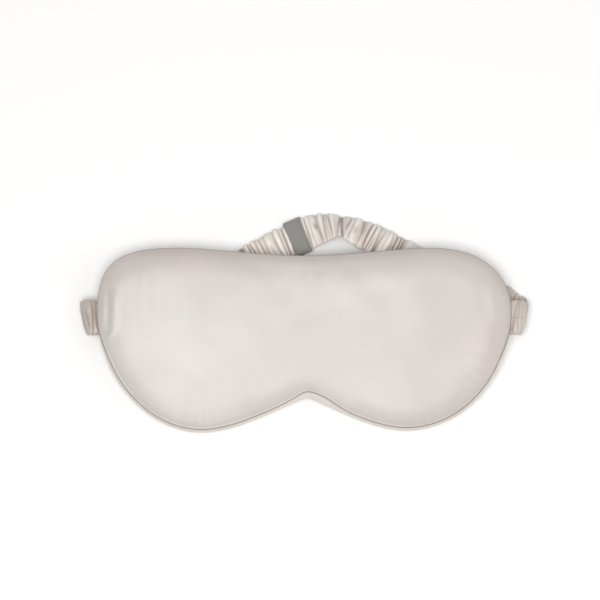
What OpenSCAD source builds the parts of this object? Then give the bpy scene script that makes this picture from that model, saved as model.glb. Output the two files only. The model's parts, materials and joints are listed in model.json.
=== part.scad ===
// Sleep eye mask, lying face up on a surface with its elastic head strap tucked behind it.
// +X runs to the right across the mask, +Y towards its top edge and +Z up out of its front.
// The origin is on the surface, under the middle of the mask's bounding box.

/* [Pad] */
// Width of the pad across both eyes
pad_w = 215; // [190:1:230]
// Height of the brow edge above the strap line
brow_h = 35.6; // [30:0.5:42]
// How far the brow edge dips over the nose
brow_dip = 4; // [2:0.5:8]
// Depth of the cheek lobes below the strap line
lobe_drop = 60; // [50:1:70]
// Height of the nose notch between the cheek lobes
notch_h = 17.5; // [12:0.5:24]
// Distance of each cheek lobe from the middle
lobe_x = 53; // [46:1:60]
// Height of the front cushion above the edge seam
front_h = 5.6; // [4:0.1:8]
// Depth of the back cushion below the edge seam
back_h = 4.8; // [4:0.1:7]
// Width of the rolled edge
rim_w = 12; // [8:0.5:14]
// Lean of the pad, whose brow rests on the strap while the cheeks touch the surface
pad_lean = 4.8; // [4.7:0.1:6]

/* [Layers] */
// Thickness of the satin panels
satin_t = 0.8; // [0.5:0.1:1.2]
// Thickness of the blackout lining
lining_t = 0.5; // [0.3:0.1:0.8]
// Width of the seam allowance turned inside the edge
allowance_w = 4; // [3:0.5:6]
// Distance of the edge stitching from the edge
stitch_inset = 2.4; // [2:0.1:4]

/* [Strap] */
// Width of the gathered satin casing
casing_w = 17.5; // [15:0.5:20]
// Thickness of the gathered casing where it lies under the pad
casing_t = 3.2; // [2.8:0.1:3.4]
// Width of the elastic inside the casing
elastic_w = 13; // [10:0.5:14]
// Thickness of the elastic
elastic_t = 1; // [0.8:0.1:1.2]
// Sideways place of the strap's highest point
arc_x = 16; // [8:1:20]
// Height of the strap's middle line at its highest point
arc_y = 48; // [46:1:54]
// Tilt of the strap where it turns over its highest point
arc_tilt = 46; // [30:1:50]

/* [Strap ends] */
// Height of each flat strap end at the pad's side seam
end_w = 18.5; // [16:0.5:21]
// How far each strap end stands out past the pad
end_reach = 7.2; // [6:0.1:10]
// Thickness of the flat folded satin in a strap end
end_t = 2.6; // [2.2:0.1:3]
// Slant of the line that each strap end folds over
fold_slant = 11; // [6:1:13]
// How steeply the strap turns up behind the right strap end
right_turn = 34; // [28:1:36]

/* [Label] */
// Length of the woven label along the strap
label_l = 8.6; // [6:0.2:12]
// Thickness of the woven label
label_t = 0.5; // [0.4:0.1:0.7]

/* [Hidden] */

satin = [0.87, 0.85, 0.83];
satin_shade = [0.78, 0.72, 0.66];
wadding_white = [0.95, 0.95, 0.94];
lining_black = [0.08, 0.08, 0.09];
elastic_white = [0.90, 0.89, 0.86];
thread_tan = [0.60, 0.53, 0.46];
label_grey = [0.53, 0.52, 0.50];

// The strap line runs through the middle of both strap ends, this far above the frame's origin
strap_line_y = 2.14;
half_w = pad_w / 2;
side_y = 2;            // height at which the pad is widest
shoulder_x = 66;       // where the brow edge is highest
curve_steps = 10;      // points along each curve of the outline
rim_steps = 5;         // rings up the rolled edge
ply_gap = 0.1;         // clearance between the pad's own layers
allowance_in = satin_t + 3 * ply_gap; // outer edge of the seam allowance, inside the panels
// Height of the middle of the pad's seam plane, with the lowest point of the cheek lobes on the surface
seam_z = (lobe_drop - rim_w) * sin(pad_lean) + norm([rim_w * sin(pad_lean), back_h * cos(pad_lean)]);

// A point on a cubic curve with four control points
function bezier(p, t) =
    pow(1 - t, 3) * p[0] + 3 * t * pow(1 - t, 2) * p[1] + 3 * t * t * (1 - t) * p[2] + pow(t, 3) * p[3];
// The way that the curve runs there
function bezier_way(p, t) =
    pow(1 - t, 2) * (p[1] - p[0]) + 2 * t * (1 - t) * (p[2] - p[1]) + t * t * (p[3] - p[2]);
function mirrored(p) = [-p.x, p.y];
function ease(t) = let (s = max(0, min(1, t))) s * s * (3 - 2 * s);

// The pad's outline on its right: brow, shoulder, cheek and nose, from the top middle to the bottom middle
outline_curves = [
    [[0, brow_h - brow_dip], [23, brow_h - brow_dip], [shoulder_x - 18, brow_h], [shoulder_x, brow_h]],
    [[shoulder_x, brow_h], [shoulder_x + 31, brow_h], [half_w, side_y + 22], [half_w, side_y]],
    [[half_w, side_y], [half_w, side_y - 35], [lobe_x + 29, -lobe_drop], [lobe_x, -lobe_drop]],
    [[lobe_x, -lobe_drop], [lobe_x - 20, -lobe_drop], [4, notch_h - lobe_drop], [0, notch_h - lobe_drop]]
];
right_steps = [for (c = outline_curves, i = [0:curve_steps - 1]) [c, i / curve_steps]];
// Each outline point on the right, and the outward way from it
right_points = [for (s = right_steps) bezier(s[0], s[1])];
right_ways = [
    for (s = right_steps) let (w = bezier_way(s[0], max(s[1], 0.001))) [-w.y, w.x] / norm(w)
];
bottom_point = [0, notch_h - lobe_drop];
right_n = len(right_points);
outline_points = concat(
    right_points,
    [bottom_point],
    [for (i = [right_n - 1:-1:1]) mirrored(right_points[i])]
);
outline_ways = concat(
    right_ways,
    [[0, -1]],
    [for (i = [right_n - 1:-1:1]) mirrored(right_ways[i])]
);
outline_n = len(outline_points);

// The outline drawn in by a distance, at a height
function outline_ring(inset, z) = [
    for (i = [0:outline_n - 1])
        let (p = outline_points[i] - outline_ways[i] * inset)
            [p.x, p.y, z]
];

// Side faces between neighbouring rings of n points, for k rings that start at the bottom
function ring_faces(n, k) = [
    for (r = [0:k - 2], i = [0:n - 1])
        let (j = (i + 1) % n)
            each [
                [r * n + i, r * n + j, (r + 1) * n + j],
                [r * n + i, (r + 1) * n + j, (r + 1) * n + i]
            ]
];

// A closed solid from a stack of rings, each a list of points in the same order
module ring_stack(rings, flip = false) {
    n = len(rings[0]);
    k = len(rings);
    sides = ring_faces(n, k);
    bottom = [for (i = [n - 1:-1:0]) i];
    top = [for (i = [0:n - 1]) (k - 1) * n + i];
    all_faces = concat(sides, [bottom, top]);
    polyhedron(
        points = [for (r = rings) each r],
        faces = flip ? [for (f = all_faces) [for (i = [len(f) - 1:-1:0]) f[i]]] : all_faces
    );
}

// A cushion half with a rolled edge: it starts at the inset given and swells to h, and can have a straight skirt
module cushion_half(inset, h, up = 1, skirt = 0) {
    rim = [
        for (k = [0:rim_steps])
            let (a = 90 * k / rim_steps)
                outline_ring(inset + (rim_w - inset) * (1 - cos(a)), up * h * sin(a))
    ];
    ring_stack(skirt > 0 ? concat([outline_ring(inset, -up * skirt)], rim) : rim, up < 0);
}

// A satin panel: a cushion half's skin, open at the seam plane
module panel(h, up) {
    difference() {
        cushion_half(0, h, up);
        cushion_half(satin_t, h - satin_t, up, 1);
    }
}

// Wadding that fills a panel down to the lining
module wadding(h, up) {
    clear_z = lining_t / 2 + ply_gap;
    difference() {
        cushion_half(satin_t + ply_gap, h - satin_t - ply_gap, up);
        flat_layer(0, up > 0 ? -1 : -clear_z, up > 0 ? clear_z : 1);
    }
}

// A flat layer of the pad between two heights
module flat_layer(inset, z_low, z_high) {
    translate([0, 0, z_low])
        linear_extrude(z_high - z_low)
            polygon([for (p = outline_ring(inset, 0)) [p.x, p.y]]);
}

// Places what is drawn in the pad's own plane, with its seam at z = 0, as the pad lies
module lay_pad() {
    translate([0, strap_line_y, seam_z])
        rotate([pad_lean, 0, 0])
            children();
}

module front_panel() {
    color(satin)
        lay_pad()
            panel(front_h, 1);
}

module front_wadding() {
    color(wadding_white)
        lay_pad()
            wadding(front_h, 1);
}

module blackout_lining() {
    color(lining_black)
        lay_pad()
            flat_layer(allowance_in + allowance_w + ply_gap, -lining_t / 2, lining_t / 2);
}

module seam_allowance() {
    color(satin_shade)
        lay_pad()
            difference() {
                flat_layer(allowance_in, -lining_t / 2, lining_t / 2);
                flat_layer(allowance_in + allowance_w, -lining_t, lining_t);
            }
}

module back_wadding() {
    color(wadding_white)
        lay_pad()
            wadding(back_h, -1);
}

module back_panel() {
    color(satin_shade)
        lay_pad()
            panel(back_h, -1);
}

// A fine thread let into the front of the rolled edge, just inside the seam
module edge_stitching() {
    thread_w = 0.5;
    climb = acos(1 - stitch_inset / rim_w);
    stitch_z = front_h * sin(climb);
    color(thread_tan)
        lay_pad()
            difference() {
                flat_layer(stitch_inset - thread_w / 2, stitch_z + ply_gap, stitch_z + ply_gap + thread_w);
                flat_layer(stitch_inset + thread_w / 2, stitch_z - 1, stitch_z + 2);
                cushion_half(0, front_h + ply_gap / 2);
            }
}

/* Strap ends: flat satin leaves the side seam, folds over a slanted line and goes back behind the pad.
   The left one goes straight back and the right one turns up as it goes. */

end_high_z = seam_z + side_y * sin(pad_lean) - end_t / 2; // underside of the layer at the side seam
fold_r = (end_high_z + end_t) / 2;                     // outer radius of the fold
return_l = 10;                                         // length of the returning layer
joint_l = 4.5;                                         // how much of it keeps the fold's own slant
fold_x = half_w + end_reach - fold_r;                  // middle of the fold

// The fold's section with the upper layer, across the fold line
module fold_section(inset) {
    r = fold_r - inset;
    wall = end_t - 2 * inset;
    upper_l = fold_x - half_w + 3;
    difference() {
        union() {
            circle(r, $fn = 48);
            translate([-joint_l, -r])
                square([joint_l, wall]);
            translate([-upper_l, r - wall])
                square([upper_l, wall]);
        }
        circle(r - wall, $fn = 48);
        translate([-2 * r, wall - r])
            square([2 * r, 2 * (r - wall)]);
    }
}

// A right-hand strap end whose returning layer has the turn given and can run past its own length
module strap_end(width, inset, turn, past = 0) {
    translate([fold_x, strap_line_y, 0]) {
        rotate([0, 0, -fold_slant])
            translate([0, width / 2, fold_r])
                rotate([90, 0, 0])
                    linear_extrude(width)
                        fold_section(inset);
        rotate([0, 0, -turn])
            translate([-return_l - past, -width / 2, inset])
                cube([return_l + past, width, end_t - 2 * inset]);
    }
}

// Room for the pad's edge, which the strap end meets at the side seam
module pad_edge_room() {
    lay_pad()
        flat_layer(-ply_gap, -3, 8);
}

module on_side(side) {
    mirror([side < 0 ? 1 : 0, 0, 0])
        children();
}

module strap_end_shell(turn) {
    difference() {
        strap_end(end_w, 0, turn);
        strap_end(elastic_w + 4 * ply_gap, (end_t - elastic_t) / 2 - ply_gap, turn, 1);
        pad_edge_room();
    }
}

// The elastic's own end, doubled over inside the strap end
module end_elastic(turn) {
    difference() {
        strap_end(elastic_w, (end_t - elastic_t) / 2, turn);
        pad_edge_room();
    }
}

// Dense stitches that hold the strap end to the pad's side seam
module bar_tack() {
    tack_w = 1;
    tack_h = 0.5;
    tack_l = end_w - 5;
    translate([half_w + tack_w / 2, strap_line_y - tack_l / 2, end_high_z + end_t + ply_gap / 2])
        cube([tack_w, tack_l, tack_h]);
}

module strap_end_left() { color(satin) on_side(-1) strap_end_shell(fold_slant); }
module strap_end_right() { color(satin) on_side(1) strap_end_shell(right_turn); }
module end_elastic_left() { color(elastic_white) on_side(-1) end_elastic(fold_slant); }
module end_elastic_right() { color(elastic_white) on_side(1) end_elastic(right_turn); }
module bar_tack_left() { color(thread_tan) on_side(-1) bar_tack(); }
module bar_tack_right() { color(thread_tan) on_side(1) bar_tack(); }

/* Strap: a gathered casing over flat elastic, swept along a line that climbs from each end to the arc */

run_end_x = fold_x - return_l - 2;
right_end = [run_end_x + 1.1, 7.7];    // where the strap meets the right strap end
tilt_s = 1.05;                         // where along it the strap tilts most
left_curve = [[-run_end_x, 1], [-40, 19], [arc_x - 20, arc_y], [arc_x, arc_y]];
right_curve = [[arc_x, arc_y], [arc_x + 15, arc_y], [arc_x + 39, 25], right_end];

// s runs from 0 at the left end through 1 at the arc to 2 at the right end
function strap_point(s) = s <= 1 ? bezier(left_curve, s) : bezier(right_curve, s - 1);
function strap_way(s) =
    let (w = s <= 1 ? bezier_way(left_curve, s) : bezier_way(right_curve, s - 1)) w / norm(w);
// The strap tilts most a little right of its highest point, and lies flat again more slowly on that side
function tilt_at(s) = arc_tilt * ease(1 - (s < tilt_s ? tilt_s - s : (s - tilt_s) * 0.7) / 0.3);

// A flat oval section: a width, a thickness and half-round edges
section_turns = 4;
function oval(w, t) = [
    for (side = [1, -1], k = [0:section_turns])
        let (a = -90 + 180 * k / section_turns)
            side * [w / 2 - t / 2 + t / 2 * cos(a), t / 2 * sin(a)]
];

// A section drawn across the strap at s, raised so that the casing's lowest edge stays on the surface
function strap_ring(s, section) =
    let (
        p = strap_point(s),
        way = strap_way(s),
        out = [-way.y, way.x],
        tilt = tilt_at(s),
        lift = casing_t / 2 + (casing_w - casing_t) / 2 * sin(tilt) + label_room * ease(1 - abs(s - label_s) / 0.3)
    )
    [
        for (q = section)
            let (across = q.x * cos(tilt) + q.y * sin(tilt), z = lift - q.x * sin(tilt) + q.y * cos(tilt))
                [p.x + out.x * across, p.y + out.y * across, z]
    ];

module strap_sweep(from, to, section, rings) {
    translate([0, strap_line_y, 0])
        ring_stack([for (i = [0:rings]) strap_ring(from + (to - from) * i / rings, section)], true);
}

left_part = 0.50;      // where the left run meets the back of the strap
right_part = 1.56;     // where the right run meets it
part_gap = 0.004;      // the small gap there, as a share of a side
run_rings = 12;
back_rings = 26;

seam_w = 1;            // width of the casing's lengthwise seam
seam_t = 0.4;          // its thickness

// The seam's section, on the underside of the casing's middle line, grown by the clearance given
function seam_section(grown, low) = [
    [-seam_w / 2 - grown, low], [seam_w / 2 + grown, low],
    [seam_w / 2 + grown, ply_gap - casing_t / 2 + seam_t + grown],
    [-seam_w / 2 - grown, ply_gap - casing_t / 2 + seam_t + grown]
];

// The rings of the elastic's room run a little past both ends of the casing
module casing(from, to, rings) {
    past = 0.01;
    color(satin_shade)
        difference() {
            strap_sweep(from, to, oval(casing_w, casing_t), rings);
            strap_sweep(from - past, to + past, oval(elastic_w + 4 * ply_gap, elastic_t + 4 * ply_gap), rings);
            strap_sweep(from - past, to + past, seam_section(ply_gap, -casing_t), rings);
        }
}

module elastic(from, to, rings) {
    color(elastic_white)
        strap_sweep(from, to, oval(elastic_w, elastic_t), rings);
}

// The casing's lengthwise seam, let into its underside
module casing_seam(from, to, rings) {
    color(thread_tan)
        strap_sweep(from, to, seam_section(0, ply_gap - casing_t / 2), rings);
}

module casing_left() { casing(0, left_part - part_gap, run_rings); }
module casing_right() { casing(right_part + part_gap, 2, run_rings); }
module casing_back() { casing(left_part + part_gap, right_part - part_gap, back_rings); }
module elastic_left() { elastic(0, left_part - part_gap, run_rings); }
module elastic_right() { elastic(right_part + part_gap, 2, run_rings); }
module elastic_back() { elastic(left_part + part_gap, right_part - part_gap, back_rings); }
module casing_seam_left() { casing_seam(0, left_part - part_gap, run_rings); }
module casing_seam_right() { casing_seam(right_part + part_gap, 2, run_rings); }
module casing_seam_back() { casing_seam(left_part + part_gap, right_part - part_gap, back_rings); }

/* Label: a short woven sleeve round the strap, just left of its highest point */

label_s = 0.83;
label_half_s = label_l / 2 / norm(3 * bezier_way(left_curve, label_s));
label_rings = 4;
label_in = 2 * ply_gap;                        // clearance between the strap and the label
label_room = label_in + label_t + ply_gap;     // how far the label lifts the strap off the surface

// The strap's section grown all round by a distance
function casing_oval(grown) = oval(casing_w + 2 * grown, casing_t + 2 * grown);

module woven_label() {
    from = label_s - label_half_s;
    to = label_s + label_half_s;
    past = 0.02;
    color(label_grey)
        difference() {
            strap_sweep(from, to, casing_oval(label_in + label_t), label_rings);
            strap_sweep(from - past, to + past, casing_oval(label_in), label_rings);
        }
}

// A row of thread across the top of the label near one end
module label_stitching() {
    thread_w = 0.5;
    row_l = 12;
    row_s = label_s + 0.5 * label_half_s;
    half_s = label_half_s * thread_w / label_l;
    low = casing_t / 2 + label_in + label_t + 2 * ply_gap;
    row = [[-row_l / 2, low], [row_l / 2, low], [row_l / 2, low + thread_w], [-row_l / 2, low + thread_w]];
    color(thread_tan)
        strap_sweep(row_s - half_s, row_s + half_s, row, 1);
}

front_panel();
front_wadding();
blackout_lining();
seam_allowance();
back_wadding();
back_panel();
edge_stitching();
strap_end_left();
strap_end_right();
end_elastic_left();
end_elastic_right();
bar_tack_left();
bar_tack_right();
casing_left();
casing_right();
elastic_left();
elastic_right();
casing_seam_left();
casing_seam_right();
casing_back();
elastic_back();
casing_seam_back();
woven_label();
label_stitching();
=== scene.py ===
import json
import math

import bpy
import numpy as np
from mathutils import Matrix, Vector, noise
from mathutils.geometry import delaunay_2d_cdt


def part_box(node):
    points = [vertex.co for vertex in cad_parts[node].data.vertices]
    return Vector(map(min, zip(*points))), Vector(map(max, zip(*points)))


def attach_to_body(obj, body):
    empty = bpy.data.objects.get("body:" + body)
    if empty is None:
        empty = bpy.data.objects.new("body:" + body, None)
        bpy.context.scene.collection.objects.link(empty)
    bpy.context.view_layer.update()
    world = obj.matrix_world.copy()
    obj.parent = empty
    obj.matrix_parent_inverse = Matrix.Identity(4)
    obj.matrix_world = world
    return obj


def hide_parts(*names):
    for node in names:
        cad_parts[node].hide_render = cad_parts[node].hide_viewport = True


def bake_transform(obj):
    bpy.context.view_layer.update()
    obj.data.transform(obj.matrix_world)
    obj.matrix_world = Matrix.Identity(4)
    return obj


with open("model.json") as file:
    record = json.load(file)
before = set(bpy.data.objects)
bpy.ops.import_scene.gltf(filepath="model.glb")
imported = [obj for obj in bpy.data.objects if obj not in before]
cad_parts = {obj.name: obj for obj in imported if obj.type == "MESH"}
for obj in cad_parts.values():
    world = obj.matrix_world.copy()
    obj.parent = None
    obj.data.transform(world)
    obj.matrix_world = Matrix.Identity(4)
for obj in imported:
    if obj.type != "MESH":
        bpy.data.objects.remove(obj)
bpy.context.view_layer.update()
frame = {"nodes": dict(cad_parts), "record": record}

# A satin sleep eye mask, lying face up with its gathered head strap tucked behind it.
# Blender's unit is the metre. The sizes named here are in millimetres, and MM turns them into metres.
MM = 0.001
SEED = 7
random = np.random.default_rng(SEED)

# ---------------------------------------------------------------- where the frame puts things

PAD_LOW, PAD_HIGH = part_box("front_panel")
BACK_FACE = next(m for m in frame["record"]["mounts"] if m["name"] == "back_face")
HALF_W = (PAD_HIGH[0] - PAD_LOW[0]) / 2 / MM
FRONT_H = 5.6             # height of the front cushion above the pad's middle plane
BACK_H = 4.8              # depth of the back cushion below it
PAD_UP = -Vector(BACK_FACE["axis"])
PAD_BROW = PAD_UP.cross(Vector((1, 0, 0)))
PAD_MIDDLE = Vector(BACK_FACE["pos_m"]) + PAD_UP * BACK_H * MM
STRAP_LINE_Y = PAD_MIDDLE.y / MM

CASING_W = 17.5           # width of the gathered casing
CASING_T = 3.2            # its thickness
ELASTIC_W = 12.5          # width of the elastic inside it
ELASTIC_T = 1.0
ARC_X, ARC_Y = 16, 48     # the strap's highest point
ARC_TILT = 46             # how far the strap tilts there, in degrees
TILT_AT = 1.05            # where along the strap it tilts most
RUN_END_X = 98.0          # where the strap passes behind each strap end
RIGHT_END_Y = 12.0        # how high it is there on the right


# ---------------------------------------------------------------- small helpers

def ease(t):
    """A smooth step from 0 to 1."""
    t = np.clip(t, 0, 1)
    return t * t * (3 - 2 * t)


def bump(x, middle, reach):
    """A smooth hump of height 1."""
    return np.exp(-((x - middle) / reach) ** 2)


def bezier(p, t):
    """Points on a cubic curve through its four control points, at shares t of its length."""
    p = np.array(p, float)
    t = np.atleast_1d(t)[:, None]
    return (1 - t) ** 3 * p[0] + 3 * t * (1 - t) ** 2 * p[1] + 3 * t * t * (1 - t) * p[2] + t ** 3 * p[3]


def wander(x, scale, seed):
    """Smooth noise along a line, from about -1 to 1, a new value every scale."""
    values = [noise.noise((v / scale, seed * 7.31, 0.5)) for v in np.ravel(x)]
    return np.array(values).reshape(np.shape(x)) * 2


def clouds(points, scale, seed):
    """Smooth noise over the plane, from about -1 to 1."""
    return np.array([noise.noise((p[0] / scale, p[1] / scale, seed * 3.17)) for p in points]) * 2


def add_mesh(name, points, faces, material, uv=None, smooth=True):
    """A new mesh object from points in metres. uv holds one pair for each point."""
    mesh = bpy.data.meshes.new(name)
    mesh.from_pydata([tuple(p) for p in points], [], [tuple(int(i) for i in f) for f in faces])
    mesh.update()
    if uv is not None:
        layer = mesh.uv_layers.new(name="UVMap")
        loops = np.zeros(len(mesh.loops), np.int32)
        mesh.loops.foreach_get("vertex_index", loops)
        layer.data.foreach_set("uv", np.asarray(uv, np.float32)[loops].ravel())
    if smooth:
        mesh.polygons.foreach_set("use_smooth", np.ones(len(mesh.polygons), bool))
    mesh.materials.append(material)
    piece = bpy.data.objects.new(name, mesh)
    bpy.context.collection.objects.link(piece)
    return piece


def mark(piece, name, values):
    """A number from 0 to 1 at each point, which the material reads by name."""
    layer = piece.data.attributes.new(name, "FLOAT", "POINT")
    layer.data.foreach_set("value", np.clip(values, 0, 1).astype(np.float32))


def normals_of(piece):
    n = np.zeros(len(piece.data.vertices) * 3, np.float32)
    piece.data.vertices.foreach_get("normal", n)
    return n.reshape(-1, 3).astype(float)


def points_of(piece):
    p = np.zeros(len(piece.data.vertices) * 3, np.float32)
    piece.data.vertices.foreach_get("co", p)
    return p.reshape(-1, 3).astype(float)


def set_points(piece, points):
    piece.data.vertices.foreach_set("co", np.asarray(points, np.float32).ravel())
    piece.data.update()


def pad_to_world(local):
    """Points in the pad's own plane, in millimetres, as they lie."""
    local = np.asarray(local, float) * MM
    axes = np.array([[1, 0, 0], PAD_BROW, PAD_UP])
    return local @ axes + np.array(PAD_MIDDLE)


# ---------------------------------------------------------------- materials

class Nodes:
    """Short names for building a material's node tree."""

    def __init__(self, name):
        self.material = bpy.data.materials.new(name)
        self.material.use_nodes = True
        self.tree = self.material.node_tree
        self.shader = self.tree.nodes["Principled BSDF"]

    def add(self, kind, inputs=None, **settings):
        node = self.tree.nodes.new(kind)
        for key, value in settings.items():
            setattr(node, key, value)
        for key, value in (inputs or {}).items():
            if isinstance(value, bpy.types.NodeSocket):
                self.tree.links.new(value, node.inputs[key])
            else:
                node.inputs[key].default_value = value
        return node

    def noise(self, vector, scale, detail=2.0, roughness=0.5):
        inputs = {"Vector": vector, "Scale": scale, "Detail": detail, "Roughness": roughness}
        return self.add("ShaderNodeTexNoise", inputs).outputs["Fac"]

    def waves(self, vector, scale, direction, distortion=0.0):
        inputs = {"Vector": vector, "Scale": scale, "Distortion": distortion, "Detail": 1.0}
        node = self.add("ShaderNodeTexWave", inputs, wave_type="BANDS", bands_direction=direction)
        return node.outputs["Fac"]

    def maths(self, operation, a, b):
        return self.add("ShaderNodeMath", {0: a, 1: b}, operation=operation).outputs[0]

    def spread(self, value, low, high):
        inputs = {"Value": value, "To Min": low, "To Max": high}
        return self.add("ShaderNodeMapRange", inputs).outputs[0]

    def mix(self, share, a, b):
        node = self.add("ShaderNodeMix", data_type="RGBA")
        for socket, value in ((node.inputs[0], share), (node.inputs[6], a), (node.inputs[7], b)):
            if isinstance(value, bpy.types.NodeSocket):
                self.tree.links.new(value, socket)
            else:
                socket.default_value = value
        return node.outputs[2]

    def marked(self, name):
        """The number that mark() left at each point."""
        return self.add("ShaderNodeAttribute", attribute_name=name).outputs["Fac"]

    def stretched(self, vector, scale):
        return self.add("ShaderNodeMapping", {"Vector": vector, "Scale": scale}).outputs[0]

    def bumps(self, layers):
        """Several heights, each (value, distance in metres), as one normal."""
        normal = None
        for value, distance in layers:
            inputs = {"Height": value, "Distance": distance, "Strength": 1.0}
            if normal is not None:
                inputs["Normal"] = normal
            normal = self.add("ShaderNodeBump", inputs).outputs[0]
        return normal

    def finish(self, colour, roughness, normal, **values):
        links = self.tree.links
        links.new(colour, self.shader.inputs["Base Color"])
        links.new(roughness, self.shader.inputs["Roughness"])
        links.new(normal, self.shader.inputs["Normal"])
        for key, value in values.items():
            self.shader.inputs[key.replace("_", " ")].default_value = value
        return self.material


def rgb(red, green, blue):
    return (red, green, blue, 1.0)


def satin(name, light, shade, rough, cloud_mm=45, thread_mm=0.22, cloud_height=0.00030):
    """Silk satin: long floats one way and fine ribs the other, cloudy gloss and a faint blush. The UVs hold
    millimetres, so the weave keeps its scale. Its marks paint light into the colour: painted shade where
    the cloth turns away and in creases, painted highlights on the ridges."""
    n = Nodes(name)
    uv = n.add("ShaderNodeUVMap").outputs[0]
    broad = n.noise(uv, 1 / cloud_mm, 2.0, 0.45)
    blush = n.noise(n.stretched(uv, (1.0, 1.6, 1.0)), 1 / (cloud_mm * 1.5), 1.0)
    slub = n.noise(n.stretched(uv, (0.35, 7.0, 1.0)), 0.55, 3.0, 0.6)
    floats = n.waves(uv, 1 / (thread_mm * 6.28), "Y", 0.4)
    ribs = n.waves(uv, 1 / (thread_mm * 12.6), "X", 0.3)
    tone = n.mix(n.spread(broad, -0.8, 1.8), light, shade)
    tone = n.mix(n.spread(blush, -1.1, 1.5), tone, rgb(light[0] * 0.96, light[1] * 0.90, light[2] * 0.895))
    tone = n.mix(n.spread(slub, -0.10, 0.14), tone, rgb(shade[0] * 0.8, shade[1] * 0.8, shade[2] * 0.8))
    turned, painted_crease_shade, painted_ridge_highlight = n.marked("turned"), n.marked("painted_crease_shade"), n.marked("painted_ridge_highlight")
    # Painted highlight on the crests of the gathers
    tone = n.mix(painted_ridge_highlight, tone, rgb(light[0] * 1.24, light[1] * 1.26, light[2] * 1.28))
    # Painted shade where the cloth turns away from the light: the pad's rolled edge and the flat strap ends
    tone = n.mix(turned, tone, rgb(shade[0] * 0.66, shade[1] * 0.60, shade[2] * 0.55))
    # Painted shade in the valleys between the gathers and in the pad's seam groove
    tone = n.mix(painted_crease_shade, tone, rgb(shade[0] * 0.30, shade[1] * 0.24, shade[2] * 0.21))
    roughness = n.spread(n.maths("ADD", n.maths("MULTIPLY", broad, 0.6), n.maths("MULTIPLY", slub, 0.4)),
                         rough - 0.07, rough + 0.09)
    normal = n.bumps([
        (broad, cloud_height * 4), (slub, 0.00002), (floats, 0.000012), (ribs, 0.000008),
    ])
    return n.finish(tone, roughness, normal, Sheen_Weight=0.10, Sheen_Roughness=0.35, Anisotropic=0.35,
                    Specular_IOR_Level=0.5)


def woven(name, light, dark, pitch_mm=0.5, rough=0.85):
    """A plain matt weave, over and under, with uneven yarns."""
    n = Nodes(name)
    uv = n.add("ShaderNodeUVMap").outputs[0]
    across = n.waves(uv, 1 / (pitch_mm * 3.14), "X", 0.6)
    along = n.waves(uv, 1 / (pitch_mm * 3.14), "Y", 0.6)
    weave = n.maths("MULTIPLY", across, along)
    uneven = n.noise(uv, 0.9, 3.0)
    colour = n.mix(n.spread(weave, 0.1, 0.9), dark, light)
    colour = n.mix(n.spread(uneven, -0.1, 0.35), colour, dark)
    normal = n.bumps([(weave, 0.00008), (uneven, 0.00005)])
    return n.finish(colour, n.spread(uneven, rough - 0.08, rough + 0.08), normal, Sheen_Weight=0.15)


def twisted_thread(name, light, dark):
    """Fine sewing thread with a slanting twist."""
    n = Nodes(name)
    place = n.add("ShaderNodeTexCoord").outputs["Object"]
    twist = n.waves(place, 900.0, "DIAGONAL", 1.0)
    fuzz = n.noise(place, 1500.0, 2.0)
    colour = n.mix(twist, dark, light)
    normal = n.bumps([(twist, 0.00006), (fuzz, 0.00002)])
    return n.finish(colour, n.spread(fuzz, 0.45, 0.7), normal, Sheen_Weight=0.1)


def fluffy(name, light, dark):
    """Soft wadding: matted fibres."""
    n = Nodes(name)
    place = n.add("ShaderNodeTexCoord").outputs["Object"]
    lumps = n.noise(place, 180.0, 4.0, 0.6)
    fibres = n.noise(n.stretched(place, (1.0, 1.0, 6.0)), 1400.0, 4.0, 0.7)
    colour = n.mix(n.spread(lumps, 0.0, 0.9), light, dark)
    normal = n.bumps([(lumps, 0.0008), (fibres, 0.0003)])
    return n.finish(colour, n.spread(fibres, 0.85, 1.0), normal, Sheen_Weight=0.4)


def fine_cloth(name, light, dark):
    """A close matt cloth for CAD nodes, which have no UVs."""
    n = Nodes(name)
    place = n.add("ShaderNodeTexCoord").outputs["Object"]
    across = n.waves(place, 640.0, "X", 0.5)
    along = n.waves(place, 640.0, "Y", 0.5)
    weave = n.maths("MULTIPLY", across, along)
    mottle = n.noise(place, 60.0, 3.0)
    colour = n.mix(n.spread(n.maths("MULTIPLY", weave, mottle), 0.0, 1.0), dark, light)
    return n.finish(colour, n.spread(mottle, 0.7, 0.95), n.bumps([(weave, 0.0001)]), Sheen_Weight=0.2)


MATERIALS = {
    "face": satin("satin_face", rgb(0.612, 0.582, 0.564), rgb(0.545, 0.508, 0.486), 0.34),
    "back": satin("satin_back", rgb(0.700, 0.665, 0.625), rgb(0.630, 0.585, 0.540), 0.38, cloud_mm=30),
    "strap": satin("satin_strap", rgb(0.725, 0.678, 0.638), rgb(0.615, 0.560, 0.515), 0.27, cloud_mm=9,
                   cloud_height=0.00004),
    "label": woven("label_weave", rgb(0.345, 0.335, 0.318), rgb(0.235, 0.227, 0.215), 0.42),
    "elastic": woven("elastic_weave", rgb(0.74, 0.72, 0.68), rgb(0.50, 0.48, 0.45), 0.7),
    "seam": twisted_thread("seam_thread", rgb(0.30, 0.235, 0.19), rgb(0.16, 0.12, 0.095)),
    "thread": twisted_thread("pale_thread", rgb(0.56, 0.50, 0.44), rgb(0.36, 0.31, 0.26)),
    "wadding": fluffy("wadding_fibres", rgb(0.90, 0.90, 0.88), rgb(0.76, 0.75, 0.73)),
    "lining": fine_cloth("blackout_cloth", rgb(0.030, 0.030, 0.034), rgb(0.010, 0.010, 0.012)),
    "allowance": fine_cloth("allowance_cloth", rgb(0.66, 0.61, 0.56), rgb(0.50, 0.45, 0.40)),
}


# ---------------------------------------------------------------- the pad's outline

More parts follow.
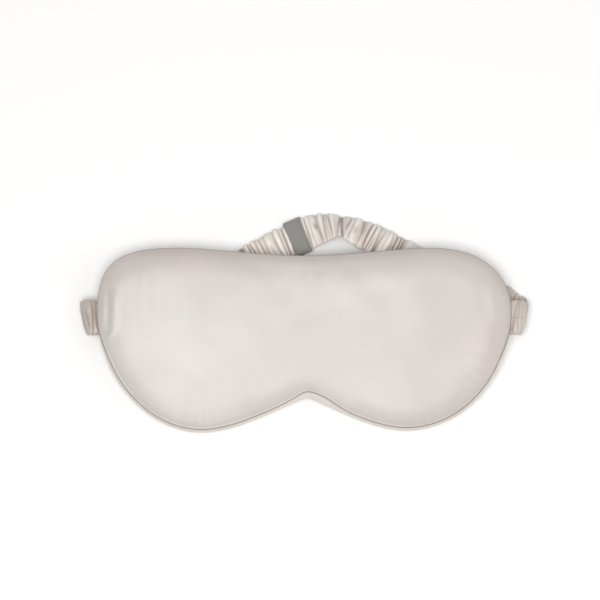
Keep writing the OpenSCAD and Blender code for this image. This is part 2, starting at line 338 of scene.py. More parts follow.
# For each side: the reach of the shoulder's rounding along the brow and down the side, the lobe's depth
# below the strap line, and its roundness towards the side
SIDES = {
    +1: {"shoulder": 28, "temple": 19, "lobe_drop": 59.4, "cheek": 29},
    -1: {"shoulder": 34, "temple": 24, "lobe_drop": 60.4, "cheek": 28},
}
BROW_H, BROW_DIP = 35.6, 4.0
LOBES_LOW = 59.9          # how far the lobes hang below the strap line, on average
NOTCH_H = 17.6            # height of the nose notch above that
NOTCH_Y = NOTCH_H - LOBES_LOW
SHOULDER_X, LOBE_X, SIDE_Y = 66, 53, 2
NOTCH_X = 1.4             # the nose notch lies a little to the right
OUTLINE_STEP = 0.9        # distance between the outline's points


def side_curves(side):
    """The four curves of one side, from the top middle to the notch."""
    d = SIDES[side]
    low = -d["lobe_drop"]
    notch = (NOTCH_X * side, NOTCH_Y)
    return [
        [(0, BROW_H - BROW_DIP), (23, BROW_H - BROW_DIP), (SHOULDER_X - 18, BROW_H), (SHOULDER_X, BROW_H)],
        [(SHOULDER_X, BROW_H), (SHOULDER_X + d["shoulder"], BROW_H),
         (HALF_W, SIDE_Y + d["temple"]), (HALF_W, SIDE_Y)],
        [(HALF_W, SIDE_Y), (HALF_W, SIDE_Y - 35), (LOBE_X + d["cheek"], low), (LOBE_X, low)],
        [(LOBE_X, low), (LOBE_X - 20, low), (notch[0] + 5, notch[1] - 0.6), notch],
    ]


def pad_outline():
    """Evenly spaced points round the pad, clockwise from the top middle, and the outward way at each."""
    t = np.linspace(0, 1, 90)[:-1]
    right = np.vstack([bezier(c, t) for c in side_curves(+1)] + [[NOTCH_X, NOTCH_Y]])
    left = np.vstack([bezier(c, t) for c in side_curves(-1)])[1:] * (-1, 1)
    loop = np.vstack([right, left[::-1]])
    closed = np.vstack([loop, loop[:1]])
    run = np.r_[0, np.cumsum(np.linalg.norm(np.diff(closed, axis=0), axis=1))]
    count = int(run[-1] / OUTLINE_STEP)
    s = np.arange(count) * run[-1] / count
    points = np.c_[np.interp(s, run, closed[:, 0]), np.interp(s, run, closed[:, 1])]
    way = np.roll(points, -2, 0) - np.roll(points, 2, 0)
    out = np.c_[-way[:, 1], way[:, 0]] / np.linalg.norm(way, axis=1)[:, None]
    return points, out, s


OUTLINE, OUTWARD, ALONG = pad_outline()


def seam_inset(points):
    """How far inside the silhouette the edge seam runs: the back panel rolls forward along the cheeks."""
    u, v = points[:, 0], points[:, 1]
    low = ease((-4 - v) / 22)
    return 0.55 + 1.45 * low + 1.9 * low * bump(u, 7, 10) * ease((-30 - v) / 10)


SEAM_IN = seam_inset(OUTLINE)
ROLL_W = 16.0             # width of the rolled edge
ROLL_POWER = 2.35         # how square its roll is
CROWN_H = 0.9             # how far the front cushion rises again towards its middle
CLOTH_T = 0.5             # thickness of the panels' satin
FILL_SPACING = 2.1        # distance between the points in the middle of a panel


def rolled(d, height):
    """Height of the cushion at a distance in from the silhouette."""
    share = 1 - np.clip(d / ROLL_W, 0, 1)
    return height * (1 - share ** ROLL_POWER) ** (1 / ROLL_POWER)


def crown(d, height):
    """A slow rise that begins behind the rolled edge."""
    return height * (1 - np.exp(-np.maximum(d - 7, 0) / 15))


def inset_of(points):
    """Distance in from the silhouette, and the place along it, for points inside the pad."""
    gaps = np.linalg.norm(points[:, None, :] - OUTLINE[None, :, :], axis=2)
    nearest = gaps.argmin(axis=1)
    return gaps[np.arange(len(points)), nearest], nearest


def fold_line(points, start, end, width):
    """A soft straight crease between two places on the pad: 1 along its middle, fading at its ends."""
    a, b = np.array(start, float), np.array(end, float)
    way = (b - a) / np.linalg.norm(b - a)
    along = (points - a) @ way / np.linalg.norm(b - a)
    across = (points - a) @ np.array([-way[1], way[0]])
    return np.exp(-(across / width) ** 2) * ease(along / 0.35) * ease((1 - along) / 0.35)


# Soft creases of the front panel: where each starts and ends, its width and its depth, all in millimetres
FRONT_CREASES = [
    ((-101.5, 20), (-102.3, -12), 1.5, 0.60),
    ((-98, 17), (-99, -11), 1.3, -0.75),
    ((-102.5, -12), (-97, -4), 1.0, -0.50),
    ((-93, 27), (-95, -12), 2.4, 0.16),
    ((-84, 32), (-82, -7), 3.6, -0.45),
    ((-76, 30), (-77, -2), 3.6, 0.14),
    ((-52, 33), (-58, 8), 4.5, 0.14),
    ((4, 32), (3, 17), 1.7, -0.30),
    ((9, 32), (8, 20), 2.0, 0.24),
    ((16, 33), (16, 21), 2.2, -0.20),
    ((-8, 31), (-9, 20), 2.4, -0.16),
    ((96, 24), (101, -10), 2.4, -0.26),
    ((90, 26), (95, -4), 3.0, 0.18),
    ((3, -41), (10, -26), 2.4, -0.28),
    ((-5, -42), (-14, -29), 2.8, -0.20),
]


def soft_relief(points, d, nearest, seed, creases=()):
    """How far the padded satin stands proud of its smooth shape, in millimetres."""
    s = ALONG[nearest]
    e = np.maximum(d - SEAM_IN[nearest], 0)
    wave = np.sin(2 * np.pi * (s / 8.5 + 0.9 * wander(s, 26, seed)))
    strength = 0.10 + 0.13 * np.maximum(wander(s, 34, seed + 1), -0.4)
    pucker = wave * strength * np.exp(-e / 5.5) * (1 - np.exp(-e / 1.2))
    swell = 0.42 * clouds(points, 38, seed + 2) + 0.13 * clouds(points, 15, seed + 3)
    relief = pucker + swell * ease(e / 9)
    for start, end, width, depth in creases:
        relief += depth * fold_line(points, start, end, width) * ease(e / 2.5)
    return relief


def ring_quads(count, rings, flip):
    """Faces between closed rings of count points each."""
    faces = []
    for r in range(rings - 1):
        for i in range(count):
            j = (i + 1) % count
            f = (r * count + i, r * count + j, (r + 1) * count + j, (r + 1) * count + i)
            faces.append(f[::-1] if flip else f)
    return faces


def filled_middle(ring, first, spacing, flip):
    """Points and triangles that fill the inside of a ring whose own points are numbered from first."""
    low, high = ring.min(axis=0), ring.max(axis=0)
    rows = np.arange(low[1], high[1], spacing * 0.866)
    grid = np.array([
        (x, y)
        for k, y in enumerate(rows)
        for x in np.arange(low[0] + (k % 2) * spacing / 2, high[0], spacing)
    ])
    edge = np.vstack([ring, ring[:1]])
    a, b = edge[:-1], edge[1:]
    inside = np.zeros(len(grid), bool)
    for p, q in zip(a, b):
        crosses = (p[1] > grid[:, 1]) != (q[1] > grid[:, 1])
        if crosses.any():
            at = (q[0] - p[0]) * (grid[:, 1] - p[1]) / (q[1] - p[1] + 1e-12) + p[0]
            inside ^= crosses & (grid[:, 0] < at)
    gap = np.linalg.norm(grid[:, None, :] - ring[None, :, :], axis=2).min(axis=1)
    grid = grid[inside & (gap > spacing * 0.55)]
    joined = np.vstack([ring, grid])
    loop = [(i, (i + 1) % len(ring)) for i in range(len(ring))]
    _, _, faces, origins, _, _ = delaunay_2d_cdt(
        [Vector(p) for p in joined], loop, [list(range(len(ring)))], 1, 1e-6)
    number = [first + o[0] for o in origins]
    triangles = []
    for f in faces:
        f = [number[i] for i in f]
        triangles.append(f[::-1] if flip else f)
    return grid, triangles


SEAM_SHADOW_W = 0.36      # width of the painted shadow line in the seam
GROOVE_DEPTH = 0.5        # how far the seam pulls the panels in
GROOVE_W = 0.6


def skin(name, rings, heights, fill_height, flip, material, relief, painted_edge_shade):
    """A panel's outer surface. rings holds insets from the silhouette, one array for each ring, heights the
    height of each, and the middle is filled at fill_height of its inset."""
    count = len(OUTLINE)
    flat = [OUTLINE - OUTWARD * d[:, None] for d in rings]
    local = np.vstack([np.c_[p, h] for p, h in zip(flat, heights)])
    middle, triangles = filled_middle(flat[-1], count * (len(rings) - 1), FILL_SPACING, not flip)
    d_mid, near_mid = inset_of(middle)
    local = np.vstack([local, np.c_[middle, fill_height(d_mid)]])
    faces = ring_quads(count, len(rings), flip) + triangles
    piece = add_mesh(name, pad_to_world(local), faces, material, uv=local[:, :2])
    d = np.r_[np.concatenate(rings), d_mid]
    nearest = np.r_[np.tile(np.arange(count), len(rings)), near_mid]
    inside = d - SEAM_IN[nearest]
    # Painted shade on the rolled edge, fading in from the seam: stronger towards the brow, weaker at the far
    # left
    browward = (0.62 + 0.38 * ease((local[:, 1] + 30) / 45)) * (1 - 0.5 * ease((-80 - local[:, 0]) / 18))
    mark(piece, "turned", painted_edge_shade * browward * np.exp(-np.maximum(inside, 0) / 5.0))
    # Painted shadow line in the seam groove, above the pad's middle plane, stronger towards the cheeks
    cheekward = 0.22 + 0.63 * ease((12 - local[:, 1]) / 30)
    mark(piece, "painted_crease_shade", cheekward * np.exp(-(inside / SEAM_SHADOW_W) ** 2) * (local[:, 2] > 0))
    move = relief(local[:, :2], d, nearest)
    set_points(piece, points_of(piece) + normals_of(piece) * move[:, None] * MM)
    return piece


def thicken(piece):
    """Gives a panel its cloth's thickness, inwards."""
    solid = piece.modifiers.new("cloth", "SOLIDIFY")
    solid.thickness = CLOTH_T * MM
    solid.offset = -1
    solid.use_even_offset = False
    return piece


def groove(d, nearest):
    """The seam pulls both panels in."""
    return -GROOVE_DEPTH * np.exp(-((d - SEAM_IN[nearest]) / GROOVE_W) ** 2)


def front_panel():
    """From the seam it rolls up over the front cushion."""
    steps = np.array([0, 0.25, 0.55, 0.9, 1.35, 1.9, 2.6, 3.4, 4.4, 5.5, 6.8, 8.2, 9.8, 11.5, 13.5, 15.8])
    rings = [SEAM_IN + e for e in steps]

    def height(d):
        return rolled(d, FRONT_H) + crown(d, CROWN_H)

    def relief(points, d, nearest):
        return soft_relief(points, d, nearest, 3, FRONT_CREASES) + groove(d, nearest)

    heights = [height(d) for d in rings]
    # The last number is the strength of the painted shade on the rolled edge
    piece = skin("pad_front", rings, heights, height, False, MATERIALS["face"], relief, 0.42)
    return thicken(piece)


# Soft creases of the back panel, in the same form
BACK_CREASES = [
    ((-60, 20), (-66, -10), 4.0, -0.2),
    ((58, 22), (66, -14), 4.0, -0.2),
    ((0, -40), (0, -24), 3.0, -0.3),
    ((-20, 30), (-24, 12), 3.2, 0.2),
    ((28, 31), (30, 12), 3.2, -0.2),
]


def back_panel():
    """From the seam it rolls over the silhouette and under the pad."""
    over = [SEAM_IN * share for share in (1.0, 0.86, 0.7, 0.5, 0.3, 0.14, 0.04)]
    under = [np.full(len(OUTLINE), d) for d in
             (0.0, 0.05, 0.2, 0.5, 0.9, 1.5, 2.2, 3.1, 4.2, 5.5, 7.0, 8.7, 10.6, 12.8, 15.2)]
    heights = [rolled(d, FRONT_H) for d in over] + [-rolled(d, BACK_H) for d in under]
    rings = over + under
    upper = len(over) * len(OUTLINE)

    def relief(points, d, nearest):
        move = soft_relief(points, d, nearest, 11, BACK_CREASES) * 0.8
        move[:upper] = groove(d[:upper], nearest[:upper]) * 0.8
        lower_part = np.arange(len(d)) >= upper
        plateau = ease((d - 10) / 6) * lower_part
        return move * (1 - plateau) + np.minimum(move, 0) * plateau

    def height(d):
        return -rolled(d, BACK_H)

    # No painted edge shade on the back panel
    piece = skin("pad_back", rings, heights, height, False, MATERIALS["back"], relief, 0.0)
    return thicken(piece)


# ---------------------------------------------------------------- threads

# Length and radius of one stitch
EDGE_STITCH = (1.5, 0.17)
CASING_STITCH = (1.5, 0.15)
LABEL_STITCH = (1.3, 0.13)
TACK_STITCH = (1.5, 0.16)
EDGE_PITCH = 2.1          # distance from one edge stitch to the next
STITCH_SINK = 0.25        # share of its radius by which a stitch's ends sink deeper


def thread_pieces(name, places, ways, ups, stitch, material):
    """A row of short stitches, each a small rounded bar that dips into the cloth at both ends. The places
    are in metres."""
    length, radius = stitch[0] * MM, stitch[1] * MM
    shares = np.array([-0.5, -0.36, 0, 0.36, 0.5])
    fat = np.array([0.35, 0.9, 1.0, 0.9, 0.35])
    dips = np.array([-1.0, -0.25, 0.1, -0.25, -1.0]) * radius * (1 + STITCH_SINK)
    turns = 6
    angle = np.arange(turns) * 2 * np.pi / turns
    points, faces = [], []
    for p, t, n in zip(places, ways, ups):
        side = np.cross(t, n)
        first = len(points)
        for share, size, dip in zip(shares, fat, dips):
            middle = p + t * share * length + n * dip
            for a in angle:
                points.append(middle + (side * math.cos(a) + n * math.sin(a)) * radius * size)
        for r in range(len(shares) - 1):
            for i in range(turns):
                j = (i + 1) % turns
                faces.append((first + r * turns + i, first + r * turns + j,
                              first + (r + 1) * turns + j, first + (r + 1) * turns + i))
        faces.append(tuple(first + i for i in range(turns - 1, -1, -1)))
        faces.append(tuple(first + (len(shares) - 1) * turns + i for i in range(turns)))
    return add_mesh(name, points, faces, material)


def edge_stitching():
    """Small stitches in the groove where the two panels meet."""
    count = int((ALONG[-1] + OUTLINE_STEP) / EDGE_PITCH)
    at = np.linspace(0, len(OUTLINE), count, endpoint=False).astype(int)
    seam = OUTLINE - OUTWARD * SEAM_IN[:, None]
    height = rolled(SEAM_IN, FRONT_H) - GROOVE_DEPTH * 0.85
    line = pad_to_world(np.c_[seam, height])
    way = np.roll(line, -1, 0) - np.roll(line, 1, 0)
    way /= np.linalg.norm(way, axis=1)[:, None]
    out = pad_to_world(np.c_[OUTWARD, np.zeros(len(OUTLINE))]) - pad_to_world([[0, 0, 0]])
    out = out / MM
    up = out * 0.55 + np.array(PAD_UP) * 0.83
    up = up / np.linalg.norm(up, axis=1)[:, None]
    return thread_pieces("edge_stitches", line[at], way[at], up[at], EDGE_STITCH, MATERIALS["seam"])


# ---------------------------------------------------------------- the strap

END_REACH = 7.2           # how far each strap end stands out past the pad
END_W = 18.8              # width of the flat strap ends
END_Y = -0.5              # the middle of both strap ends, above the strap line
END_T = 2.2               # thickness of the flat strap ends
FOLD_SLANT = 11.5         # slant of the line each strap end folds over, in degrees
FOLD_CLIMB = {-1: 0.5, +1: 3.6}       # how far the strap climbs as it goes round each fold
BACK_TURN = {-1: 17.0, +1: 27.0}      # its own turn where it passes behind each strap end, in degrees
BACK_Y = {-1: 1.0, +1: RIGHT_END_Y}   # and how high it is there
SIDE_Z = (PAD_MIDDLE.z + 0.0005) / MM       # height of the side seams
# The strap's way behind the pad, as two curves that meet at its highest point
LEFT_CURVE = [(-RUN_END_X, 1.0), (-40, 19), (ARC_X - 20, ARC_Y), (ARC_X, ARC_Y)]
RIGHT_CURVE = [(ARC_X, ARC_Y), (ARC_X + 15, ARC_Y), (ARC_X + 42, 26.5), (RUN_END_X, RIGHT_END_Y)]
STEP = 0.28               # distance between the strap's rings


def end_path(side):
    """The strap end from inside the side seam, out, over the fold and back under: place, width, normal."""
    low_z = END_T / 2 + 0.2
    high_z = SIDE_Z - 0.3
    r = (high_z - low_z) / 2
    fold_x = HALF_W + END_REACH - r
    inside = 2.4
    after_fold = FOLD_SLANT * 1.5
    climb = FOLD_CLIMB[side]
    rows = []
    for t in np.linspace(0, 1, 16):
        x = HALF_W - inside + (fold_x - HALF_W + inside) * t
        rows.append((x, END_Y, high_z + 0.25 * math.sin(t * 3.1), 0.5 * FOLD_SLANT * t, 0.0))
    for a in np.linspace(0, 180, 14)[1:]:
        angle = math.radians(a)
        rows.append((fold_x + r * math.sin(angle), END_Y + climb * ease((a - 60) / 120),
                     low_z + r + r * math.cos(angle), FOLD_SLANT * (0.5 + a / 180), a))
    for t in np.linspace(0, 1, 12)[1:]:
        rise = climb + (BACK_Y[side] - END_Y - climb) * (1.15 * t - 0.15 * t * t)
        rows.append((fold_x - (fold_x - RUN_END_X) * t, END_Y + rise, low_z + (CASING_T / 2 - low_z) * t,
                     after_fold + (BACK_TURN[side] - after_fold) * ease(t / 0.7), 180.0))
    path = []
    for x, y, z, slant, roll in rows:
        slant, roll = math.radians(slant), math.radians(roll)
        p = np.array([side * x, y, z])
        width = np.array([side * math.sin(slant), math.cos(slant), 0.0])
        outward = np.array([side * math.cos(slant), -math.sin(slant), 0.0])
        normal = -np.array([0, 0, 1.0]) * math.cos(roll) - outward * math.sin(roll)
        path.append((p, width, normal))
    return path


RUN_STEPS = 260           # places along the two curves
RUN_SWAY = 3.0            # how far the strap rocks about its tilt, in degrees
SMOOTHINGS = 8            # times that the strap's frames are evened out


def tilt_at(s):
    """The strap's tilt over its arc. s runs from 0 to 2 along the two curves."""
    away = TILT_AT - s if s < TILT_AT else (s - TILT_AT) * 0.7
    return math.radians(ARC_TILT) * ease(1 - away / 0.3)


def run_path():
    """The strap behind the pad, from the left run through the arc to the right run."""
    rows = []
    for s in np.linspace(0, 2, RUN_STEPS):
        curve, t = (LEFT_CURVE, s) if s <= 1 else (RIGHT_CURVE, s - 1)
        p = bezier(curve, t)[0]
        ahead, behind = bezier(curve, min(t + 0.01, 1))[0], bezier(curve, max(t - 0.01, 0))[0]
        way = (ahead - behind) / np.linalg.norm(ahead - behind)
        sway = math.radians(RUN_SWAY) * float(wander(s * 100, 16, 5)) * float(ease(1 - abs(s - 1) / 0.7))
        tilt = max(float(tilt_at(s)) + sway, 0.0)
        lift = CASING_T / 2 + (CASING_W - CASING_T) / 2 * math.sin(tilt)
        out = np.array([-way[1], way[0], 0])
        width = out * math.cos(tilt) - np.array([0, 0, 1]) * math.sin(tilt)
        normal = out * math.sin(tilt) + np.array([0, 0, 1]) * math.cos(tilt)
        rows.append((np.array([p[0], p[1], lift]), width, normal))
    return rows


def strap_frames():
    """Evenly spaced frames along the whole strap, from the left side seam to the right: place, width, normal
    and length so far."""
    left = end_path(-1)
    right = [(p, w, n) for p, w, n in reversed(end_path(+1))]
    rows = left[:-1] + run_path() + right[1:]
    place = np.array([r[0] for r in rows])
    width = np.array([r[1] for r in rows])
    normal = np.array([r[2] for r in rows])
    run = np.r_[0, np.cumsum(np.linalg.norm(np.diff(place, axis=0), axis=1))]
    at = np.linspace(0, run[-1], int(run[-1] / STEP))

    def even(values):
        return np.array([np.interp(at, run, values[:, k]) for k in range(3)]).T

    place, width, normal = even(place), even(width), even(normal)
    for _ in range(SMOOTHINGS):
        place[1:-1] = place[1:-1] * 0.5 + (place[:-2] + place[2:]) * 0.25
        width[1:-1] = width[1:-1] * 0.5 + (width[:-2] + width[2:]) * 0.25
        normal[1:-1] = normal[1:-1] * 0.5 + (normal[:-2] + normal[2:]) * 0.25
    width /= np.linalg.norm(width, axis=1)[:, None]
    normal -= width * (normal * width).sum(axis=1)[:, None]
    normal /= np.linalg.norm(normal, axis=1)[:, None]
    place[:, 1] += STRAP_LINE_Y
    return place, width, normal, at


PLACE, WIDTH_WAY, NORMAL, LENGTH = strap_frames()
TOTAL = LENGTH[-1]


def length_at_x(x):
    """Where along the strap its middle line passes behind the pad at x."""
    behind = np.where(np.abs(PLACE[:, 0]) < RUN_END_X)[0]
    return LENGTH[behind[np.abs(PLACE[behind, 0] - x).argmin()]]


# The strap's parts, each from one length to the next
CUT_LEFT_END = length_at_x(-(RUN_END_X - 1))
CUT_LEFT = length_at_x(-50)
CUT_LABEL = length_at_x(-3.2)
CUT_RIGHT = length_at_x(62)
CUT_RIGHT_END = length_at_x(RUN_END_X - 1)


def gather_strength(l):
    """How strongly the casing is gathered: full behind the pad, slight in the flat strap ends."""
    left, right = ease((l - CUT_LEFT_END + 8) / 12), ease((CUT_RIGHT_END + 8 - l) / 12)
    return 0.66 + 0.34 * left * right


RIDGE = 1.35              # height of the gathers' ridges
MEAN_RIDGE = 0.75         # mean height of the gathers
FULLNESS = 0.62           # share of the casing's thickness that lies under the gathers
PUFF = 0.42               # how far the gathers lift the cloth
RIDGE_SHARE = 0.85        # share of the gathers' height that shows on the faces


def make_pleats():
    """Creases between the gathers: where each lies, its slant, bow, width and depth, and how far across the
    strap it reaches."""
    pleats = []
    at = 0.8
    while at < TOTAL:
        pleats.append({
            "at": at + random.uniform(-0.5, 0.5),
            "slant": random.uniform(-1.1, 1.1),
            "bow": random.uniform(-0.9, 0.9),
            "wide": random.uniform(0.38, 0.80),
            "deep": random.uniform(0.80, 1.85),
            "from": random.uniform(-1.7, -0.2) if random.random() < 0.35 else -2.0,
            "to": random.uniform(0.2, 1.7) if random.random() < 0.35 else 2.0,
        })
        at += random.uniform(1.6, 3.0)
    return pleats


PLEATS = {+1: make_pleats(), -1: make_pleats()}


def pleat_height(l, a, face):
    """Height of the gathers at a length and a share across the width, on one face of the strap."""
    total = RIDGE + 0.35 * wander(l, 3.1, 20 + face)
    for p in PLEATS[face]:
        middle = p["at"] + p["slant"] * a + p["bow"] * (a * a - 0.4)
        x = np.abs(l - middle) / p["wide"]
        reach = ease((a - p["from"]) / 0.5) * ease((p["to"] - a) / 0.5)
        total -= p["deep"] * reach * np.exp(-x ** 1.25)
    total = np.maximum(total, -0.35 + 0.1 * total)
    share = gather_strength(l)
    return total * share + MEAN_RIDGE * (1 - share)


def section(count):
    """A flat oval: shares across the width and of the half thickness."""
    angle = (np.arange(count) + 0.5) * 2 * np.pi / count
    c, s = np.cos(angle), np.sin(angle)
    across = np.sign(c) * np.abs(c) ** 0.62
    up = np.sign(s) * np.abs(s) ** 0.72
    return across, up


PAD_CLEAR = 0.2           # gap between the strap and the pad's underside
SECTION_POINTS = 44       # points round the casing


def room_under_pad(p):
    """The height that the flat middle of the pad's underside leaves for the strap, in millimetres."""
    local_y = p[:, 1] - STRAP_LINE_Y
    underside = (PAD_MIDDLE.z / MM) + local_y * PAD_BROW.z - BACK_H - PAD_CLEAR
    below = (local_y < 26) & (np.abs(p[:, 0]) < HALF_W - 4)
    return np.where(below, underside, np.inf)


def ribbon(name, start, end, half_w, thick, material, gathered, points_round=SECTION_POINTS):
    """Part of the strap, as a closed tube along its frames between two lengths."""
    rings = np.where((LENGTH >= start - 1e-6) & (LENGTH <= end + 1e-6))[0]
    across, up = section(points_round)
    l = np.repeat(LENGTH[rings], points_round)
    a = np.tile(across, len(rings))
    u = np.tile(up, len(rings))
    frames = np.repeat(rings, points_round)
    flat = 1 - ease((l - CUT_LEFT_END + 9) / 10) * ease((CUT_RIGHT_END + 9 - l) / 10)
    half = half_w + flat * (END_W / 2 - CASING_W / 2)
    body = thick / 2 * np.ones_like(l)
    if gathered:
        top, low = pleat_height(l, a, +1), pleat_height(l, a, -1)
        side = np.clip(u, -1, 1) * 0.5 + 0.5
        height = top * side + low * (1 - side)
        squeeze = FULLNESS - 0.10 * flat
        rise = height - MEAN_RIDGE
        on_face = np.abs(u) ** 0.6
        body = thick / 2 * squeeze + on_face * (rise * RIDGE_SHARE + PUFF)
        body = np.maximum(body, 0.25)
        edge = np.abs(a) ** 4
        half = half - 0.5 + edge * (top - MEAN_RIDGE) * 0.9
        body += 0.10 * wander(l + a * 3, 1.7, 9)
    offset_w = a * half
    offset_n = u * body
    p = PLACE[frames] + WIDTH_WAY[frames] * offset_w[:, None] + NORMAL[frames] * offset_n[:, None]
    p[:, 2] = np.clip(p[:, 2], 0.02, room_under_pad(p))
    count = len(rings)
    faces = []
    for r in range(count - 1):
        for i in range(points_round):
            j = (i + 1) % points_round
            faces.append((r * points_round + i, (r + 1) * points_round + i,
                          (r + 1) * points_round + j, r * points_round + j))
    faces.append(tuple(range(points_round)))
    faces.append(tuple((count - 1) * points_round + i for i in range(points_round - 1, -1, -1)))
    uv = np.c_[l, a * half_w + np.where(u < 0, 3 * half_w, 0)]
    piece = add_mesh(name, p * MM, faces, material, uv=uv)
    if gathered:
        # Painted shade in the valleys between the gathers
        mark(piece, "painted_crease_shade", 0.72 * ease((MEAN_RIDGE + 0.15 - height) / 1.1))
        # Painted highlight on the gathers' ridges, none on the flat strap ends
        mark(piece, "painted_ridge_highlight", 0.75 * ease((height - 0.95) / 0.55) * (1 - flat))
        # Painted shade on the flat strap ends, darker on the left end
        mark(piece, "turned", flat * np.where(PLACE[frames][:, 0] < 0, 0.75, 0.45))
    return piece


# Where each part of the strap starts and ends
PARTS = {
    "left_end": (0, CUT_LEFT_END), "left_run": (CUT_LEFT_END, CUT_LEFT),
    "left_back": (CUT_LEFT, CUT_LABEL), "right_back": (CUT_LABEL, CUT_RIGHT),
    "right_run": (CUT_RIGHT, CUT_RIGHT_END), "right_end": (CUT_RIGHT_END, TOTAL),
}


def ring_at(l):
    """The number of the strap's ring nearest to a length."""
    return int(np.abs(LENGTH - l).argmin())


def place_at(l):
    return tuple(PLACE[ring_at(l)] * MM)


def attach(piece, part):
    """Lets a part of the strap follow its body: the ends ride on the pad, and the rest only has its
    transform baked into its points.
    """
    if part.endswith("end"):
        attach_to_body(piece, "pad")
    elif part == "left_run":
        place_at(CUT_LEFT)
        place_at(CUT_LEFT_END + 2)
        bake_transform(piece)
    elif part == "right_run":
        place_at(CUT_RIGHT)
        place_at(CUT_RIGHT_END - 2)
        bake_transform(piece)
    elif part == "left_back":
        place_at(length_at_x(-12))
        place_at(CUT_LEFT)
        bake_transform(piece)
    else:
        place_at(length_at_x(30))
        place_at(CUT_RIGHT)
        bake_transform(piece)


# The CAD nodes that each part's casing, elastic and seam stand for
STANDS_FOR = {
    "left_end": ("strap_end_left", "end_elastic_left", None),
    "right_end": ("strap_end_right", "end_elastic_right", None),
    "left_run": ("casing_left", "elastic_left", "casing_seam_left"),
    "right_run": ("casing_right", "elastic_right", "casing_seam_right"),
    "left_back": ("casing_back", "elastic_back", "casing_seam_back"),
    "right_back": ("casing_back", "elastic_back", "casing_seam_back"),
}


def casing_stitches(part, start, end):
    """The casing's lengthwise seam, on the face away from the pad's front."""
    rings = np.where((LENGTH > start + 0.6) & (LENGTH < end - 0.6))[0][::5]
    rise = pleat_height(LENGTH[rings], np.zeros(len(rings)), -1) - MEAN_RIDGE
    height = -(CASING_T / 2 * FULLNESS + PUFF + rise * RIDGE_SHARE)
    places = (PLACE[rings] + NORMAL[rings] * height[:, None]) * MM
    places[:, 2] = np.maximum(places[:, 2], 0.25 * MM)
    ways = np.gradient(PLACE, axis=0)[rings]
    ways /= np.linalg.norm(ways, axis=1)[:, None]
    return thread_pieces(f"casing_stitches_{part}", places, ways, -NORMAL[rings], CASING_STITCH,
                         MATERIALS["thread"])


def strap():
    """Each part of the strap: its gathered casing, the elastic inside it, and the seam's stitches."""
    for part, (start, end) in PARTS.items():
        casing_node, elastic_node, seam_node = STANDS_FOR[part]
        casing = ribbon(f"casing_{part}", start, end, CASING_W / 2, CASING_T, MATERIALS["strap"], True)
        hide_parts(casing_node)
        attach(casing, part)
        elastic = ribbon(f"elastic_{part}", start, end, ELASTIC_W / 2, ELASTIC_T, MATERIALS["elastic"],
                         False, points_round=16)
        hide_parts(elastic_node)
        attach(elastic, part)
        stitches = casing_stitches(part, start, end)
        if seam_node:
            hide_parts(seam_node)
        attach(stitches, part)


# ---------------------------------------------------------------- the label

LABEL_L = 8.8             # length of the label along the strap
LABEL_T = 0.42            # thickness of its tape


def label_ring(l, share, outer):
    """One ring of the label's sleeve, round the strap at a length."""
    k = ring_at(l)
    count = 56
    across, up = section(count)
    half = CASING_W / 2 + 0.55 + outer
    thick = CASING_T / 2 + 0.35 + outer + 0.16 * math.sin(share * 3.1)
    bow = 0.5 * (1 - across ** 2)
    p = PLACE[k] + WIDTH_WAY[k] * (across * half)[:, None] + NORMAL[k] * (up * thick)[:, None]
    way = np.cross(WIDTH_WAY[k], NORMAL[k])
    p = p - way * bow[:, None] * 0.4
    p[:, 2] = np.maximum(p[:, 2], 0.05)
    return p, np.c_[np.full(count, share * LABEL_L), across * half + np.where(up < 0, 30, 0)]


def woven_label():
    """A plain grey woven tape folded round the strap: outer face, inner face and both cut ends."""
    middle = CUT_LABEL
    shares = np.linspace(0, 1, 22)
    rows = []
    for s in shares:
        rows.append(label_ring(middle + (s - 0.5) * LABEL_L, s, LABEL_T))
    for s in shares[::-1]:
        rows.append(label_ring(middle + (s - 0.5) * LABEL_L, s, 0.0))
    count = len(rows[0][0])
    points = np.vstack([r[0] for r in rows]) * MM
    uv = np.vstack([r[1] for r in rows])
    faces = []
    for r in range(len(rows)):
        q = (r + 1) % len(rows)
        for i in range(count):
            j = (i + 1) % count
            faces.append((r * count + i, q * count + i, q * count + j, r * count + j))
    return add_mesh("label_tape", points, faces, MATERIALS["label"], uv=uv)


def label_stitches():
    """A short row of stitches along one edge of the label, across the strap."""
    k = ring_at(CUT_LABEL + LABEL_L * 0.36)
    across = np.linspace(-0.82, 0.82, 9)
    places = (PLACE[k] + WIDTH_WAY[k] * (across * CASING_W / 2)[:, None]
              + NORMAL[k] * (CASING_T / 2 + 0.95)) * MM
    ways = np.repeat(WIDTH_WAY[k][None, :], len(across), 0)
    ups = np.repeat(NORMAL[k][None, :], len(across), 0)
    return thread_pieces("label_stitches", places, ways, ups, LABEL_STITCH, MATERIALS["label"])


def bar_tack(side):
    """Close zigzag stitches that hold a strap end to the side seam."""
    count = 17
    v = np.linspace(-END_W / 2 + 1.2, END_W / 2 - 1.2, count)
    z = SIDE_Z + END_T / 2 - 0.35
    places = np.array([[side * (HALF_W + 0.25), y + END_Y + STRAP_LINE_Y, z] for y in v]) * MM
    slant = np.where(np.arange(count) % 2 == 0, 0.35, -0.35)
    ways = np.array([[math.cos(a), math.sin(a), 0] for a in slant])
    ups = np.repeat([[0.0, 0.0, 1.0]], count, 0)
    name = "bar_tack_stitches_" + ("right" if side > 0 else "left")
    return thread_pieces(name, places, ways, ups, TACK_STITCH, MATERIALS["thread"])


# ---------------------------------------------------------------- building the mask

def settle(piece, body, slot, *nodes):
    """Puts a piece on its body, in place of the CAD nodes that it stands for. Its slot is not used."""
    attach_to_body(piece, body)
    if nodes:
        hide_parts(*nodes)
    return piece


def dress(node, material):
    """A hidden CAD node keeps its shape and gets its own material."""
    piece = frame["nodes"][node]
    piece.data.materials.clear()
    piece.data.materials.append(material)


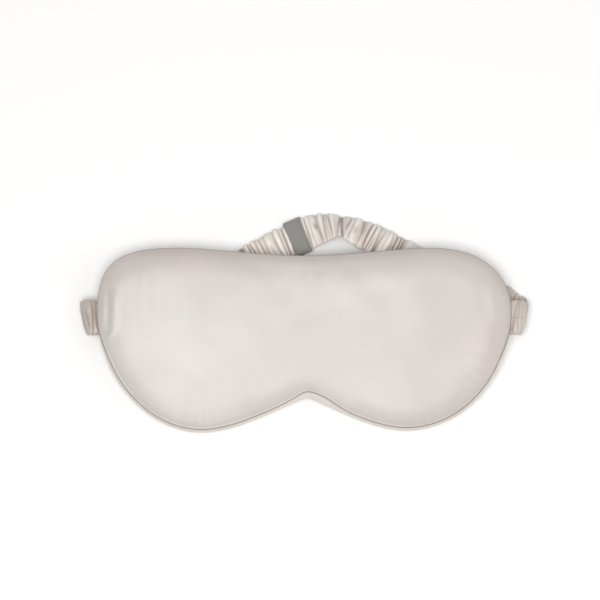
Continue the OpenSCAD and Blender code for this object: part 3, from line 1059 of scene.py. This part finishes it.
def mask():
    front = settle(front_panel(), "pad", "satin_face", "front_panel")
    back = settle(back_panel(), "pad", "satin_back", "back_panel")
    settle(edge_stitching(), "pad", "thread", "edge_stitching")
    strap()
    settle(woven_label(), "strap_back", "label", "woven_label")
    settle(label_stitches(), "strap_back", "thread", "label_stitching")
    settle(bar_tack(-1), "pad", "thread", "bar_tack_left")
    settle(bar_tack(+1), "pad", "thread", "bar_tack_right")
    dress("front_wadding", MATERIALS["wadding"])
    dress("back_wadding", MATERIALS["wadding"])
    dress("blackout_lining", MATERIALS["lining"])
    dress("seam_allowance", MATERIALS["allowance"])


mask()


# ---------------------------------------------------------------- floor, light and camera

FLOOR_HALF = 3.0          # half the floor's side, in metres


def floor():
    n = Nodes("pale_floor")
    place = n.add("ShaderNodeTexCoord").outputs["Object"]
    grain = n.noise(place, 900.0, 3.0)
    broad = n.noise(place, 1.5, 1.0)
    colour = n.mix(n.spread(broad, 0.0, 1.0), rgb(0.93, 0.93, 0.93), rgb(0.91, 0.91, 0.91))
    normal = n.bumps([(grain, 0.00002)])
    material = n.finish(colour, n.spread(grain, 0.8, 0.95), normal, Specular_IOR_Level=0.2)
    half = FLOOR_HALF
    piece = add_mesh("floor", [(-half, -half, 0), (half, -half, 0), (half, half, 0), (-half, half, 0)],
                     [(0, 1, 2, 3)], material, smooth=False)


def softbox(name, place, target, size, watts, colour):
    """A rectangular area light that points at a target."""
    data = bpy.data.lights.new(name, "AREA")
    data.shape = "RECTANGLE"
    data.size, data.size_y = size
    data.energy = watts
    data.color = colour
    lamp = bpy.data.objects.new(name, data)
    bpy.context.collection.objects.link(lamp)
    lamp.location = place
    lamp.rotation_euler = (Vector(target) - Vector(place)).to_track_quat("-Z", "Y").to_euler()


def lights():
    softbox("key", (-0.10, -0.24, 1.27), (0, 0, 0), (0.9, 0.7), 12.0, (1.0, 0.992, 0.980))
    softbox("right_fill", (1.15, -0.15, 0.80), (0, 0, 0), (0.7, 0.9), 2.6, (1.0, 0.99, 0.975))
    world = bpy.data.worlds.new("studio")
    world.use_nodes = True
    world.node_tree.nodes["Background"].inputs["Color"].default_value = (1.0, 0.995, 0.985, 1.0)
    world.node_tree.nodes["Background"].inputs["Strength"].default_value = 0.44
    bpy.context.scene.world = world
    bpy.context.scene.view_settings.view_transform = "Standard"


# The camera's own sizes are in metres
CAMERA_ELEVATION = 84     # degrees above the floor
CAMERA_DISTANCE = 1.3
VIEW_WIDTH = 0.3131       # what the frame spans at the mask
AIM = (-0.0022, (STRAP_LINE_Y + 8.95) * MM, 0.007)


def camera():
    data = bpy.data.cameras.new("camera")
    data.sensor_width = 36
    data.lens = data.sensor_width * CAMERA_DISTANCE / VIEW_WIDTH
    data.clip_start = 0.05
    data.clip_end = 30
    eye = bpy.data.objects.new("camera", data)
    bpy.context.collection.objects.link(eye)
    up = math.radians(CAMERA_ELEVATION)
    away = Vector((0, -math.cos(up), math.sin(up)))
    eye.location = Vector(AIM) + away * CAMERA_DISTANCE
    eye.rotation_euler = (math.pi / 2 - up, 0, 0)
    bpy.context.scene.camera = eye


floor()
lights()
camera()
